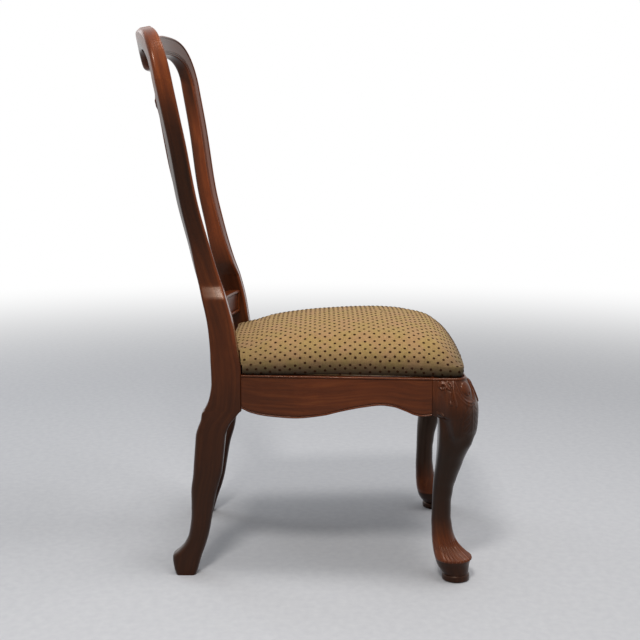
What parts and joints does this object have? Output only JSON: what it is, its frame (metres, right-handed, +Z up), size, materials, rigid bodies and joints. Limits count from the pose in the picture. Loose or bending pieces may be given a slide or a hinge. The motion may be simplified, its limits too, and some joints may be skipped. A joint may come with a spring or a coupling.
{
  "type": "dining side chair",
  "caption": "Armless wooden dining chair with a hooped back, a vase-shaped splat, cabriole front legs and an upholstered seat.",
  "frame": {"origin": "on the floor, under the middle of the chair's outline", "axes": "+Z up, -Y the way the sitter faces, -X the sitter's right"},
  "size_m": [0.519, 0.6619, 1.0709],
  "materials": {
    "show_wood": "polished, dark red-brown",
    "block_wood": "bare sawn wood",
    "plywood": "bare plywood",
    "dowel_wood": "bare turned wood",
    "seat_foam": "cut foam",
    "seat_fabric": "woven, tan with small dark dots",
    "dust_cloth": "thin matt cloth",
    "steel": "plain"
  },
  "bodies": {
    "root": {"rear_post_right": "show_wood", "rear_post_left": "show_wood", "crest_rail": "show_wood", "back_splat": "show_wood", "lower_back_rail": "show_wood", "rear_rail": "show_wood", "side_rail_right": "show_wood", "side_rail_left": "show_wood", "front_rail": "show_wood", "front_leg_right": "show_wood", "front_leg_left": "show_wood", "corner_block_front_right": "block_wood", "corner_block_front_left": "block_wood", "corner_block_rear_right": "block_wood", "corner_block_rear_left": "block_wood", "seat_board": "plywood", "seat_foam": "seat_foam", "seat_cover": "seat_fabric", "dust_cover": "dust_cloth", "rail_dowels": "dowel_wood", "back_dowels": "dowel_wood", "block_screws": "steel", "seat_screws": "steel"}
  },
  "joints": []
}
